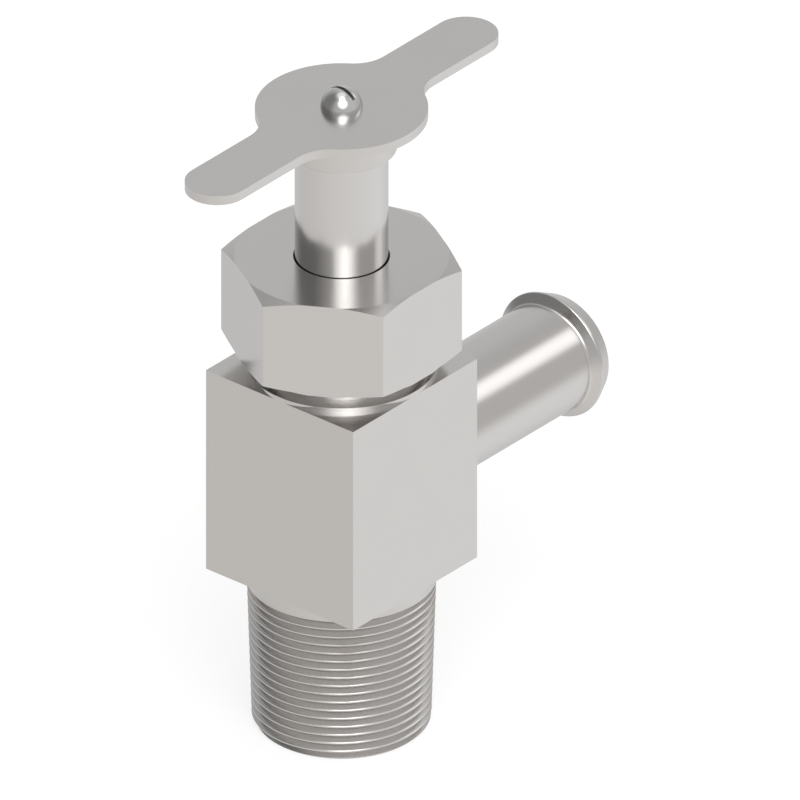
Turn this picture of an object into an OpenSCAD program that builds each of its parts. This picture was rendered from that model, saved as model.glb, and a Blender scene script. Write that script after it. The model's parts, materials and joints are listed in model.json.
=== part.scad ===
// Angle shut-off valve: taper-threaded inlet below, hose outlet at the side, tee handle on top.
// Millimetres. The origin is the centre of the inlet's lower end, +Z runs up the stem and
// +X runs out of the outlet. The valve is drawn open, with the disc lifted off its seat.

/* [Body] */
// Width across the flats of the square body
body_side = 44.4; // [43.6:0.1:52]
// Height of the square block between its lower and upper corner planes
block_h = 52.76; // [51:0.01:64]
// Height of the turned shoulder between the block and the inlet thread
shoulder_h = 2.92; // [2:0.01:6]
// Height from the block's upper corner plane to the packing nut
boss_h = 5.26; // [3:0.01:10]
// Height of the turned rim on top of the block
rim_h = 1.1; // [0.6:0.1:2.4]
// Step from a body face in to the turned rim and shoulder
boss_inset = 0.08; // [0.04:0.02:0.6]

/* [Inlet] */
// Length of the taper-threaded nipple
thread_len = 37.84; // [28:0.01:42]
// Crest diameter at the nipple's lower end
thread_small_d = 41.4; // [39:0.05:41.8]
// Length over which the crest diameter grows by one millimetre
thread_taper = 16; // [15:0.5:24]
// Distance between neighbouring crests
thread_pitch = 2.209; // [1.6:0.001:3.5]
// Depth from crest to root
thread_depth = 1.6; // [0.6:0.01:1.8]
// Width of the flat on a crest
thread_crest = 0.3; // [0.1:0.01:0.4]
// Height of the first crest above the lower end
thread_lead = 0.24; // [0.2:0.01:1]
// Diameter of the inlet bore
inlet_d = 24; // [19:0.1:26]

/* [Outlet] */
// Height of the outlet's axis above the block's lower corner plane
outlet_rise = 22.34; // [20:0.01:25]
// Outer diameter of the outlet tube
tube_d = 26.48; // [24:0.02:28]
// Wall of the outlet tube
tube_wall = 2.8; // [1.6:0.02:4]
// Reach of the outlet tube from the body face
tube_reach = 57.76; // [40:0.01:80]
// Depth of the socket that the outlet tube is pressed into
tube_socket = 6; // [4:0.1:6.4]
// Diameter of the hose barb at the tube's end
barb_d = 30.96; // [29.2:0.02:36]
// Length of the barb's steep flank, which holds the hose back
barb_flank = 1.4; // [0.4:0.02:4]
// Width of the flat on the barb's crest
barb_flat = 0.52; // [0.2:0.02:3]
// Length of the barb's taper from its crest down to the tube's end
barb_taper = 4.6; // [2:0.02:10]
// Diameter of the port between the chamber and the tube
port_d = 20; // [16:0.1:20.8]

/* [Seat] */
// Diameter of the chamber
chamber_d = 28; // [27.6:0.1:30]
// Step from the chamber wall in to the seat ring's pocket
seat_step = 0.3; // [0.1:0.1:0.8]
// Diameter of the opening through the seat ring
seat_port_d = 19; // [16:0.1:20]
// Height of the seat ring inside its pocket
seat_ring_h = 6; // [4:0.1:8]
// Width of the raised seat lip
seat_lip_w = 1.7; // [1:0.1:2.2]
// Height of the raised seat lip
seat_lip_h = 2; // [1.2:0.1:3]
// Depth of the seat's top below the outlet's axis
seat_drop = 9.1; // [8:0.1:10.4]
// Travel of the disc from shut to fully open
lift = 8; // [6:0.1:10]

/* [Disc] */
// Thickness of the soft seat disc
seat_disc_t = 4; // [3:0.1:5]
// How far the soft disc stands out of its holder
disc_proud = 0.4; // [0.2:0.1:1]
// Wall of the holder around the soft disc
disc_rim = 1.2; // [0.8:0.1:1.4]
// Gap from the holder to the chamber wall
holder_gap = 0.8; // [0.4:0.1:1.2]
// Thickness of the web between the soft disc and the swivel pocket
web_t = 4; // [3:0.1:6]
// Diameter of the washer that clamps the soft disc
disc_washer_d = 12; // [10.8:0.1:14]
// Thickness of that washer
disc_washer_t = 1.2; // [0.8:0.1:2]
// Head diameter of the disc screw
disc_head_d = 9.6; // [8.4:0.1:10.4]
// Head height of the disc screw
disc_head_h = 2.8; // [2:0.1:4]

/* [Swivel] */
// Diameter of the button at the spindle's foot
button_d = 16; // [14:0.1:16.8]
// Height of the button
button_h = 2.6; // [2:0.1:4]
// Diameter of the waist above the button
waist_d = 12; // [10:0.1:12.8]
// Radial gap between the button and its pocket
button_gap = 0.3; // [0.2:0.05:0.6]
// End play of the button in its pocket
button_play = 0.06; // [0.03:0.01:0.2]
// Thickness of the retaining clip
clip_t = 1.2; // [1:0.1:2]
// Gap in the retaining clip's ring
clip_mouth = 5; // [3:0.1:7]
// Depth of the clip's groove past the pocket wall
groove_depth = 1.2; // [0.8:0.1:1.6]
// Height of the holder's lip above the clip
holder_lip = 2; // [1.4:0.1:4]

/* [Stem] */
// Diameter of the smooth stem
stem_d = 21.64; // [20.4:0.02:22.8]
// Length of stem that shows between the packing nut and the handle's hub
stem_show = 29; // [16:0.1:50]
// Outer diameter of the spindle thread
spindle_thread_d = 26; // [25.2:0.1:27.6]
// Pitch of the spindle thread
spindle_pitch = 3; // [2:0.5:4]
// Gap between the disc holder and the spindle thread
thread_gap = 1.6; // [0.6:0.1:2.4]
// Gap between the disc holder and the thread bush at full lift
bush_gap = 2.6; // [1:0.1:4]
// Gap between the spindle's back shoulder and the packing washer at full lift
back_gap = 0.3; // [0.2:0.1:1]

/* [Packing] */
// Wall of the thread bush
bush_wall = 3.2; // [2.4:0.1:4]
// Wall of the threaded neck around the packing
neck_wall = 3.6; // [2.8:0.1:4.2]
// Depth of the collar turned down between the neck thread and the rim
neck_relief = 1.2; // [1:0.1:1.6]
// Pitch of the neck thread
neck_pitch = 1.5; // [1:0.25:2.5]
// Height left between the neck's top and the nut's ceiling for tightening
neck_short = 2.2; // [1:0.1:4]
// Height of one packing ring
ring_h = 3.8; // [3:0.1:4.8]
// Height of the gland follower
follower_h = 5.6; // [4.8:0.1:8]
// Thickness of the washer under the packing
washer_t = 2; // [1.2:0.1:3]
// Radial gap between that washer and the stem
washer_gap = 0.4; // [0.2:0.1:0.6]

/* [Packing nut] */
// Width across the flats of the hexagonal packing nut
nut_flats = 48.88; // [48:0.02:56]
// Height of the packing nut
nut_h = 23.88; // [21.6:0.01:32]
// Thickness of the nut's wall around the stem
nut_throat = 5.26; // [4.4:0.01:7]
// Height that the end bevels take off the corners
nut_drop = 1.4; // [0.8:0.01:2.4]
// How far the circle where a bevel starts lies outside the flats
nut_face_over = 0.36; // [0.04:0.02:1]
// Thickness of the round washer face under the nut
nut_washer_face = 0.3; // [0.1:0.01:0.6]
// Radial gap between the nut and the stem
nut_gap = 0.3; // [0.2:0.01:0.8]
// Height of the wiper ring inside the nut
wiper_h = 2.8; // [2:0.1:3.6]
// Radial width of the wiper ring
wiper_w = 3; // [2:0.1:4]

/* [Handle] */
// Diameter of the hub under the plate
hub_d = 25.68; // [24:0.02:32]
// Height of the hub
hub_h = 8.16; // [6:0.01:16]
// Width across the flats of the spindle's square end
tang_side = 14; // [12:0.1:14.4]
// Gap left between the square end and the plate, so that the screw clamps
tang_short = 0.5; // [0.2:0.1:1.2]
// Thickness of the handle plate
plate_t = 2.32; // [1.6:0.02:6]
// Diameter of the plate's round middle
plate_d = 40; // [32:0.1:52]
// Span of the handle from tip to tip
handle_span = 103.9; // [88:0.1:160]
// Width of an arm, whose end is a half circle
arm_w = 15; // [12:0.1:20]
// Fillet between an arm and the round middle
arm_fillet = 9; // [2:0.1:12]

/* [Screws] */
// Diameter of the handle screw's domed head
dome_d = 9.84; // [8:0.02:14]
// Width of a screwdriver slot
slot_w = 1; // [0.8:0.1:1.6]
// Depth of a screwdriver slot
slot_depth = 1.8; // [0.8:0.01:1.9]
// Thread diameter of both screws
screw_d = 6; // [5:0.1:6.8]
// Thread pitch of both screws
screw_pitch = 1; // [0.8:0.05:1.2]
// Length of the handle screw under its head
handle_screw_len = 18; // [10:0.5:28]

/* [Fits] */
// Radial gap of a piece that turns or slides in another
run_gap = 0.06; // [0.03:0.01:0.1]
// Radial gap of a piece that is pressed or screwed into another
fit_gap = 0.04; // [0.02:0.01:0.1]
// Gap that stays between the soft disc and the seat lip when the valve is shut
shut_gap = 0.05; // [0.02:0.01:0.1]

/* [Hidden] */
$fn = 96;

// Overrun of a cut past the face that it leaves
over = 2;
// Depth and crest width of a parallel ridge, for each millimetre of its pitch
ridge_depth = 0.6;
ridge_crest = 0.14;
// Number of packing rings in the stack
ring_count = 3;
// Straight steps in each round of the handle plate's outline
arc_steps = 12;

// Radii
boss_r = body_side / 2 - boss_inset;
thread_small_r = thread_small_d / 2;
inlet_r = inlet_d / 2;
tube_r = tube_d / 2;
tube_bore_r = tube_r - tube_wall;
barb_r = barb_d / 2;
port_r = port_d / 2;
chamber_r = chamber_d / 2;
pocket_r = chamber_r - seat_step;
seat_ring_r = pocket_r - fit_gap;
seat_port_r = seat_port_d / 2;
holder_r = chamber_r - holder_gap;
disc_pocket_r = holder_r - disc_rim;
button_r = button_d / 2;
waist_r = waist_d / 2;
swivel_pocket_r = button_r + button_gap;
groove_r = swivel_pocket_r + groove_depth;
stem_r = stem_d / 2;
spindle_thread_r = spindle_thread_d / 2;
bush_bore_r = spindle_thread_r + run_gap;
bush_r = bush_bore_r + bush_wall;
bonnet_bore_r = bush_r + fit_gap;
neck_r = bonnet_bore_r + neck_wall;
collar_r = neck_r - neck_relief;
nut_corner_r = nut_flats / 2 / cos(30);
nut_face_r = nut_flats / 2 + nut_face_over;
nut_hole_r = stem_r + nut_gap;
wiper_bore_r = stem_r + run_gap;
wiper_r = wiper_bore_r + wiper_w;
hub_r = hub_d / 2;
dome_r = dome_d / 2;
screw_r = screw_d / 2;
screw_hole_r = screw_r + fit_gap;

// Heights of the outside, from the inlet's lower end up
z_shoulder = thread_len;
z_block = z_shoulder + shoulder_h;
z_block_top = z_block + block_h;
z_rim = z_block_top + rim_h;
z_nut = z_block_top + boss_h;
z_nut_top = z_nut + nut_h;
z_hub = z_nut_top + stem_show;
z_plate = z_hub + hub_h;
z_plate_top = z_plate + plate_t;
z_outlet = z_block + outlet_rise;

// Heights of the seat and of the disc at full lift
z_seat_top = z_outlet - seat_drop;
z_chamber = z_seat_top - seat_lip_h;
z_pocket = z_chamber - seat_ring_h;
z_disc = z_seat_top + shut_gap + lift;
z_holder = z_disc + disc_proud;
z_web = z_disc + seat_disc_t;
z_swivel = z_web + web_t;
z_button = z_swivel + button_play;
z_clip = z_button + button_h + button_play;
z_holder_top = z_clip + clip_t + holder_lip;

// Heights of the packing, from the nut's ceiling down
z_ceiling = z_nut_top - nut_throat;
z_wiper = z_ceiling + (nut_throat - wiper_h) / 2;
z_neck_top = z_ceiling - neck_short;
z_follower = z_ceiling - follower_h;
z_rings = z_follower - ring_count * ring_h;
z_washer = z_rings - washer_t;
z_bush = z_holder_top + bush_gap;
z_thread = z_holder_top + thread_gap;
z_thread_top = z_washer - back_gap;
z_tang_top = z_plate - tang_short;
z_screw_tip = z_plate_top - handle_screw_len;

// Places along the outlet, from the valve's axis outwards
x_socket = body_side / 2 - tube_socket;
x_tube_end = body_side / 2 + tube_reach;
x_crest = x_tube_end - barb_taper - barb_flat;
x_barb = x_crest - barb_flank;

// Colours
satin_steel = [0.73, 0.72, 0.71];
turned_steel = [0.78, 0.77, 0.76];
polished_steel = [0.86, 0.86, 0.87];
bronze = [0.66, 0.47, 0.27];
brass = [0.80, 0.67, 0.36];
graphite = [0.16, 0.16, 0.17];
white_seal = [0.93, 0.93, 0.91];
black_rubber = [0.05, 0.05, 0.05];

// A round bar on the valve's axis between two heights
module bar(r, z0, z1) {
    translate([0, 0, z0]) cylinder(r = r, h = z1 - z0);
}

// A plain ring on the valve's axis
module ring(bore_r, outer_r, z0, z1) {
    difference() {
        bar(outer_r, z0, z1);
        bar(bore_r, z0 - over, z1 + over);
    }
}

// Radius of a ridged shank at height z: V ridges with a flat crest, one pitch apart
function ridged_r(z, crest_r, pitch, depth, crest, lead, grow) =
    let (off = abs((z - lead) / pitch - round((z - lead) / pitch)) * pitch,
        slope = depth / (pitch - crest) * 2)
    crest_r + z * grow - max(0, off - crest / 2) * slope;

// A shank from z = 0 to len with V ridges around it; grow adds to the radius with height
module ridged_shank(crest_r, len, pitch, depth, crest, lead, grow = 0) {
    count = floor((len - lead - pitch / 2) / pitch) + 1;
    function at(z) = [ridged_r(z, crest_r, pitch, depth, crest, lead, grow), z];
    rotate_extrude() polygon(concat(
        [[0, 0], at(0)],
        [for (i = [0:count - 1], z = [lead + i * pitch], dz = [-crest / 2, crest / 2, pitch / 2])
            if (z + dz > 0 && z + dz < len) at(z + dz)],
        [at(len), [0, len]]));
}

// A parallel threaded shank from one height to another
module threaded_bar(r, z0, z1, pitch) {
    translate([0, 0, z0])
        ridged_shank(r, z1 - z0, pitch, pitch * ridge_depth, pitch * ridge_crest, pitch / 2);
}

// The square block with its turned shoulder below, and its rim and collar above
module body_block() {
    intersection() {
        translate([0, 0, z_shoulder])
            linear_extrude(z_nut - z_shoulder) square(body_side, center = true);
        rotate_extrude() {
            translate([0, z_shoulder]) square([boss_r, z_rim - z_shoulder]);
            translate([0, z_block]) square([body_side, block_h]);
            translate([0, z_block]) square([collar_r, z_nut - z_block]);
        }
    }
}

// A plain core runs through the nipple into the block, and the neck thread starts a pitch below the nut
module valve_body() {
    color(satin_steel) difference() {
        union() {
            ridged_shank(thread_small_r, thread_len, thread_pitch, thread_depth, thread_crest,
                thread_lead, 0.5 / thread_taper);
            bar(thread_small_r - thread_depth, over, z_block_top);
            body_block();
            threaded_bar(neck_r, z_nut - neck_pitch, z_neck_top, neck_pitch);
        }
        bar(inlet_r, -over, z_pocket + over);
        bar(pocket_r, z_pocket, z_chamber + over);
        bar(chamber_r, z_chamber, z_bush + over);
        bar(bonnet_bore_r, z_bush, z_neck_top + over);
        translate([0, 0, z_outlet]) rotate([0, 90, 0]) {
            cylinder(r = port_r, h = x_socket + over);
            translate([0, 0, x_socket]) cylinder(r = tube_r + fit_gap, h = tube_socket + over);
        }
    }
}

module seat_ring() {
    lip_r = seat_lip_w / 2;
    color(turned_steel) rotate_extrude() union() {
        translate([seat_port_r, z_pocket]) square([seat_ring_r - seat_port_r, seat_ring_h]);
        translate([seat_port_r, z_chamber]) square([seat_lip_w, seat_lip_h - lip_r]);
        translate([seat_port_r + lip_r, z_seat_top - lip_r]) circle(lip_r);
    }
}

// The tube's wall is drawn standing on its inner end and then laid along +X
module outlet_tube() {
    color(satin_steel) translate([0, 0, z_outlet]) rotate([0, 90, 0]) rotate_extrude()
        polygon([[tube_bore_r, x_socket], [tube_r, x_socket], [tube_r, x_barb], [barb_r, x_crest],
            [barb_r, x_crest + barb_flat], [tube_r, x_tube_end], [tube_bore_r, x_tube_end]]);
}

// The bevel cones run past the corners to twice their height, so that they cut the hexagon cleanly
module packing_nut() {
    reach = 2 * (nut_corner_r - nut_face_r);
    lower = 2 * (nut_drop - nut_washer_face);
    color(satin_steel) difference() {
        translate([0, 0, z_nut]) intersection() {
            cylinder(r = nut_corner_r, h = nut_h, $fn = 6);
            rotate_extrude() polygon([[0, 0], [nut_face_r, 0], [nut_face_r, nut_washer_face],
                [nut_face_r + reach, nut_washer_face + lower],
                [nut_face_r + reach, nut_h - 2 * nut_drop], [nut_face_r, nut_h], [0, nut_h]]);
        }
        bar(neck_r + fit_gap, z_nut - over, z_ceiling);
        bar(nut_hole_r, z_ceiling - over, z_nut_top + over);
        bar(wiper_r + fit_gap, z_wiper, z_wiper + wiper_h);
    }
}

module stem_wiper() {
    color(black_rubber) ring(wiper_bore_r, wiper_r, z_wiper, z_wiper + wiper_h);
}

module gland_follower() {
    color(brass) ring(stem_r + run_gap, bush_r, z_follower, z_ceiling);
}

// The packing rings are counted from the lowest, level 0
module packing_ring(level) {
    z = z_rings + level * ring_h;
    color(graphite) ring(stem_r + run_gap, bush_r, z, z + ring_h);
}

module packing_washer() {
    color(turned_steel) ring(stem_r + washer_gap, bush_r, z_washer, z_rings);
}

module thread_bush() {
    color(bronze) ring(bush_bore_r, bush_r, z_bush, z_washer);
}

// The waist, the stem and the square end run into each other's cores, so that they are one piece
module spindle() {
    color(turned_steel) difference() {
        union() {
            bar(button_r, z_button, z_button + button_h);
            bar(waist_r, z_button, z_hub);
            threaded_bar(spindle_thread_r, z_thread, z_thread_top, spindle_pitch);
            bar(stem_r, z_thread, z_hub);
            translate([-tang_side / 2, -tang_side / 2, z_thread_top])
                cube([tang_side, tang_side, z_tang_top - z_thread_top]);
        }
        bar(screw_hole_r, z_screw_tip - over, z_tang_top + over);
    }
}

module disc_holder() {
    color(turned_steel) difference() {
        bar(holder_r, z_holder, z_holder_top);
        bar(disc_pocket_r, z_holder - over, z_web);
        bar(screw_hole_r, z_web - over, z_swivel + over);
        bar(swivel_pocket_r, z_swivel, z_holder_top + over);
        bar(groove_r, z_clip, z_clip + clip_t);
    }
}

// An open ring sprung into the holder's groove, over the spindle's button
module swivel_clip() {
    color(polished_steel) difference() {
        ring(waist_r + button_gap, groove_r - fit_gap, z_clip, z_clip + clip_t);
        translate([0, -clip_mouth / 2, z_clip - over]) cube([groove_r + over, clip_mouth, clip_t + 2 * over]);
    }
}

module seat_disc() {
    color(white_seal) ring(screw_hole_r, disc_pocket_r - fit_gap, z_disc, z_web);
}

module disc_washer() {
    color(turned_steel) ring(screw_hole_r, disc_washer_d / 2, z_disc - disc_washer_t, z_disc);
}

module disc_screw() {
    z_head = z_disc - disc_washer_t - disc_head_h;
    color(polished_steel) difference() {
        union() {
            bar(disc_head_d / 2, z_head, z_head + disc_head_h);
            threaded_bar(screw_r, z_head + disc_head_h, z_swivel - fit_gap, screw_pitch);
        }
        translate([-disc_head_d, -slot_w / 2, z_head - over]) cube([2 * disc_head_d, slot_w, slot_depth + over]);
    }
}

module handle_hub() {
    hole = tang_side + 2 * fit_gap;
    color(satin_steel) difference() {
        bar(hub_r, z_hub, z_plate);
        translate([-hole / 2, -hole / 2, z_hub - over]) cube([hole, hole, hub_h + 2 * over]);
    }
}

// Points along an arc about a centre, from one angle to another
function arc(centre, r, from, to) =
    [for (i = [0:arc_steps]) let (a = from + (to - from) * i / arc_steps)
        centre + r * [cos(a), sin(a)]];

// One quarter of the outline of both arms: the fillet out of the round middle, then the round end
function arm_quarter() =
    let (fillet_y = arm_w / 2 + arm_fillet,
        fillet_x = sqrt(pow(plate_d / 2 + arm_fillet, 2) - pow(fillet_y, 2)))
    concat(arc([fillet_x, fillet_y], arm_fillet, 180 + atan(fillet_y / fillet_x), 270),
        arc([(handle_span - arm_w) / 2, 0], arm_w / 2, 90, 0));

// The quarter outline turned into a closed one by mirroring it in both directions
module arms_outline() {
    quarter = arm_quarter();
    last = len(quarter) - 1;
    half = concat(quarter, [for (i = [last - 1:-1:0]) [quarter[i][0], -quarter[i][1]]]);
    polygon(concat(half, -half));
}

module handle_plate() {
    color(satin_steel) difference() {
        union() {
            bar(plate_d / 2, z_plate, z_plate_top);
            translate([0, 0, z_plate]) linear_extrude(plate_t) arms_outline();
        }
        bar(screw_hole_r, z_plate - over, z_plate_top + over);
    }
}

module handle_screw() {
    color(polished_steel) difference() {
        union() {
            translate([0, 0, z_plate_top]) rotate_extrude() intersection() {
                circle(dome_r);
                square(dome_r);
            }
            threaded_bar(screw_r, z_screw_tip, z_plate_top, screw_pitch);
        }
        translate([-slot_w / 2, -dome_d, z_plate_top + dome_r - slot_depth])
            cube([slot_w, 2 * dome_d, slot_depth + over]);
    }
}

valve_body();
seat_ring();
outlet_tube();
packing_nut();
stem_wiper();
gland_follower();
packing_ring(2);  // packing_ring_upper
packing_ring(1);  // packing_ring_middle
packing_ring(0);  // packing_ring_lower
packing_washer();
thread_bush();
spindle();
disc_holder();
swivel_clip();
seat_disc();
disc_washer();
disc_screw();
handle_hub();
handle_plate();
handle_screw();
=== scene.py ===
# %% [markdown]
# An angle shut-off valve in satin steel
#
# The frame holds the valve as plain solids at their real size. This lesson gives them their looks:
# the true helix of the pipe thread, the broken edges that a machinist leaves, the finishes, and the
# soft light of a small studio. Lengths are written in millimetres, as on a workshop drawing.

import json
import math

import bmesh
import bpy
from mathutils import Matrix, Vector

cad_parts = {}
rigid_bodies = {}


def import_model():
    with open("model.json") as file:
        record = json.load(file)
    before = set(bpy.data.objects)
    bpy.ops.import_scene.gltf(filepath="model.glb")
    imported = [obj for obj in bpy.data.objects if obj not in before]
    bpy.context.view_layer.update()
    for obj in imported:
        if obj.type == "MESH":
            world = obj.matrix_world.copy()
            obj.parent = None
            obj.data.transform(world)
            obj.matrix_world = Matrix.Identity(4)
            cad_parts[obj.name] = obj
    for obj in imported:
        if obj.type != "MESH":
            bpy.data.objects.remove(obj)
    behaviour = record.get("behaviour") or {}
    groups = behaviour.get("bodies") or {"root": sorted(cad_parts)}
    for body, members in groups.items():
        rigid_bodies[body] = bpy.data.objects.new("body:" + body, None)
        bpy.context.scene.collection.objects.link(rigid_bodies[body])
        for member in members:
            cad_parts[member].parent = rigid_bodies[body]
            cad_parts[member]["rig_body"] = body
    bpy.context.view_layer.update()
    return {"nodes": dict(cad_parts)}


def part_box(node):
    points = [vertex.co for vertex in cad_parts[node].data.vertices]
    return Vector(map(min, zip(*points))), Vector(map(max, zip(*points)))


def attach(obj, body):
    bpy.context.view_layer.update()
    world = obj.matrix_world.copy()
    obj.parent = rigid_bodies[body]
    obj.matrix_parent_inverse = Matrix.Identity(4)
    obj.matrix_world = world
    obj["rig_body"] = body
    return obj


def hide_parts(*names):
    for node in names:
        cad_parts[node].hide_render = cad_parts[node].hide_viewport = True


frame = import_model()
MM = 0.001
print("nodes in the frame:", len(frame["nodes"]))

# %% [markdown]
# Sizes come from the frame
#
# A piece that fits another takes its size from it. So the places and radii below are read off the
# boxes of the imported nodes, and only what a box can't tell is written as a number. Pieces that are
# pressed or screwed together leave a hair of clearance, and pieces that move past each other a little
# more.

# %% Read places and radii
def low(node):
    """Lowest corner of a node, in millimetres."""
    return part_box(node)[0] / MM


def high(node):
    """Highest corner of a node, in millimetres."""
    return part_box(node)[1] / MM


def radius(node):
    """Radius of a node that is turned about the stem's axis."""
    return high(node).x


FIT_GAP = 0.04
RUN_GAP = 0.3
half_side = high("valve_body").y
body_side = 2 * half_side
z_nut, z_nut_top = low("packing_nut").z, high("packing_nut").z
z_hub, z_plate, z_plate_top = low("handle_hub").z, low("handle_plate").z, high("handle_plate").z
z_outlet = (low("outlet_tube").z + high("outlet_tube").z) / 2
tube_end, tube_start = high("outlet_tube").x, low("outlet_tube").x
print("body side", round(body_side, 2), "outlet height", round(z_outlet, 2))

# %% [markdown]
# Three ways to make a solid
#
# Most of a valve is turned on a lathe, so the first helper spins an outline of radius and height about
# the Z axis. The second one extrudes an outline of X and Y, for the square and hexagonal bars. The
# third adds or cuts one solid with another, as a milling cutter or a drill does.
#
# Real metal has no perfectly sharp corner. Each corner of an outline is eased into a small arc first,
# which gives these edges their thin line of light without a Bevel modifier on the finished mesh.

# %% Outlines
EASE = 0.15
SHARP_TURN = math.radians(25)
ON_AXIS = 0.001
NEARLY_HALF = 0.49


def eased(outline, ease=EASE, steps=6):
    """A closed outline with small arcs in place of its sharp corners."""
    points = [Vector(point) for point in outline]
    result = []
    for i, corner in enumerate(points):
        to_before = points[i - 1] - corner
        to_after = points[(i + 1) % len(points)] - corner
        turn = math.pi - to_before.angle(to_after)
        if turn < SHARP_TURN or abs(corner.x) < ON_AXIS:
            result.append(corner)
            continue
        reach = min(ease, NEARLY_HALF * to_before.length, NEARLY_HALF * to_after.length)
        start = corner + reach * to_before.normalized()
        end = corner + reach * to_after.normalized()
        for step in range(steps + 1):
            t = step / steps
            result.append((1 - t) ** 2 * start + 2 * t * (1 - t) * corner + t ** 2 * end)
    return result


def arc(centre, size, start, end, steps=12):
    """Points on an arc, from one angle in degrees to another."""
    angles = [math.radians(start + (end - start) * i / steps) for i in range(steps + 1)]
    return [(centre[0] + size * math.cos(a), centre[1] + size * math.sin(a)) for a in angles]


# %% Solids
ROUND_STEPS = 192
SAME_PLACE = 0.0005


def made(name, shape):
    """An object from an edited mesh in millimetres, its faces pointing outwards."""
    bmesh.ops.remove_doubles(shape, verts=shape.verts, dist=SAME_PLACE)
    bmesh.ops.recalc_face_normals(shape, faces=shape.faces)
    bmesh.ops.scale(shape, verts=shape.verts, vec=(MM, MM, MM))
    mesh = bpy.data.meshes.new(name)
    shape.to_mesh(mesh)
    shape.free()
    piece = bpy.data.objects.new(name, mesh)
    bpy.context.scene.collection.objects.link(piece)
    return piece


def turned(name, outline, steps=ROUND_STEPS, axis="Z", height=0.0):
    """Spins a closed outline of (radius, distance along the axis) about Z, or about a line along X."""
    shape = bmesh.new()
    rings = []
    for size, along in outline:
        count = steps if size > ON_AXIS else 1
        ring = []
        for i in range(count):
            a = 2 * math.pi * i / steps
            if axis == "Z":
                place = (size * math.cos(a), size * math.sin(a), along)
            else:
                place = (along, size * math.cos(a), height + size * math.sin(a))
            ring.append(shape.verts.new(place))
        rings.append(ring)
    for first, second in zip(rings, rings[1:] + rings[:1]):
        for i in range(steps):
            corners = [ring[k % len(ring)] for ring, k in
                       ((first, i), (first, i + 1), (second, i + 1), (second, i))]
            corners = list(dict.fromkeys(corners))
            if len(corners) > 2:
                shape.faces.new(corners)
    return made(name, shape)


def prism(name, outline, bottom, top):
    """Extrudes a closed outline of (x, y) from one height to another."""
    shape = bmesh.new()
    floor, roof = ([shape.verts.new((x, y, z)) for x, y in outline] for z in (bottom, top))
    shape.faces.new(floor)
    shape.faces.new(roof)
    for i in range(len(floor)):
        shape.faces.new((floor[i - 1], floor[i], roof[i], roof[i - 1]))
    return made(name, shape)


# %% Adding, cutting and keeping
def settle(piece):
    """Turns what the modifiers show into the object's own mesh."""
    bpy.context.view_layer.update()
    graph = bpy.context.evaluated_depsgraph_get()
    mesh = bpy.data.meshes.new_from_object(piece.evaluated_get(graph))
    piece.modifiers.clear()
    piece.data = mesh


def worked(piece, tool, operation):
    """UNION, DIFFERENCE or INTERSECT of a piece with a tool, which is used up."""
    step = piece.modifiers.new("work", "BOOLEAN")
    step.operation = operation
    step.solver = "MANIFOLD"
    step.material_mode = "TRANSFER"
    step.object = tool
    settle(piece)
    bpy.data.objects.remove(tool)
    return piece


def checked(piece):
    """Prints the size of a mesh, and how many of its edges don't join two faces."""
    shape = bmesh.new()
    shape.from_mesh(piece.data)
    open_edges = sum(1 for edge in shape.edges if len(edge.link_faces) != 2)
    print(piece.name, len(shape.faces), "faces,", open_edges, "open edges,",
          round(shape.calc_volume() / MM ** 3), "cubic mm")
    shape.free()


# %% [markdown]
# A thread that really climbs
#
# The inlet is a taper pipe thread: a V groove that winds up the nipple like a staircase while the
# nipple grows by one millimetre in sixteen. A stack of rings would look right from far off, but its
# crests would stand level on both sides. Geometry Nodes can follow the true rule instead. A flat grid
# has one column for each step round the axis and six rows for each turn: the two edges of the crest,
# the two ends of their rounding, and the two edges of the root. Its columns are wrapped round the
# axis, and each row climbs by one pitch on the way round. So the crest edges lie on edges of the mesh,
# and the narrow strip of the rounding catches the lamps.
#
# The tree is a sum with many steps, so one short helper adds a math node.

# %% Nodes that do sums
def sums(tree, operation, *values):
    """A math node of a tree fed with numbers or sockets; returns its output."""
    node = tree.nodes.new("ShaderNodeMath")
    node.operation = operation
    for socket, value in zip(node.inputs, values):
        if isinstance(value, (int, float)):
            socket.default_value = value
        else:
            tree.links.new(value, socket)
    return node.outputs[0]


# %% Named inputs of the thread tree
thread_tree = bpy.data.node_groups.new("climbing_thread", "GeometryNodeTree")
thread_tree.is_modifier = True
thread_tree.interface.new_socket("Geometry", in_out="OUTPUT", socket_type="NodeSocketGeometry")
THREAD_INPUTS = {
    "NodeSocketFloat": ("Crest radius", "Bore radius", "Start height", "Length", "Pitch", "Depth",
                        "Crest width", "Crest round", "Root width", "Chamfer", "Lead", "Growth"),
    "NodeSocketInt": ("Turns", "Steps"),
    "NodeSocketMaterial": ("Finish",),
}
thread_socket = {}
for kind, labels in THREAD_INPUTS.items():
    for label in labels:
        added = thread_tree.interface.new_socket(label, in_out="INPUT", socket_type=kind)
        thread_socket[label] = added.identifier
print("inputs of the thread tree:", len(thread_socket))

# %% [markdown]
# The first two steps work along the axis. A row's number tells its turn and which of the six lines of
# the profile it is. The profile gives its distance from the middle of the crest, and the turn and the
# share of the way round give the climb. What would pass an end of the sleeve stops there.

# %% Along the axis
ROWS_PER_TURN = 6
MIDDLE_OF_ROWS = 2.5
TURNS_BELOW = 2


def profile_ends(do, given):
    """Distances from the middle of a crest to the edge of its flat, and to the edge of the root."""
    half_crest = do("DIVIDE", given["Crest width"], 2)
    to_root = do("DIVIDE", do("SUBTRACT", given["Pitch"], given["Root width"]), 2)
    return half_crest, to_root


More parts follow.
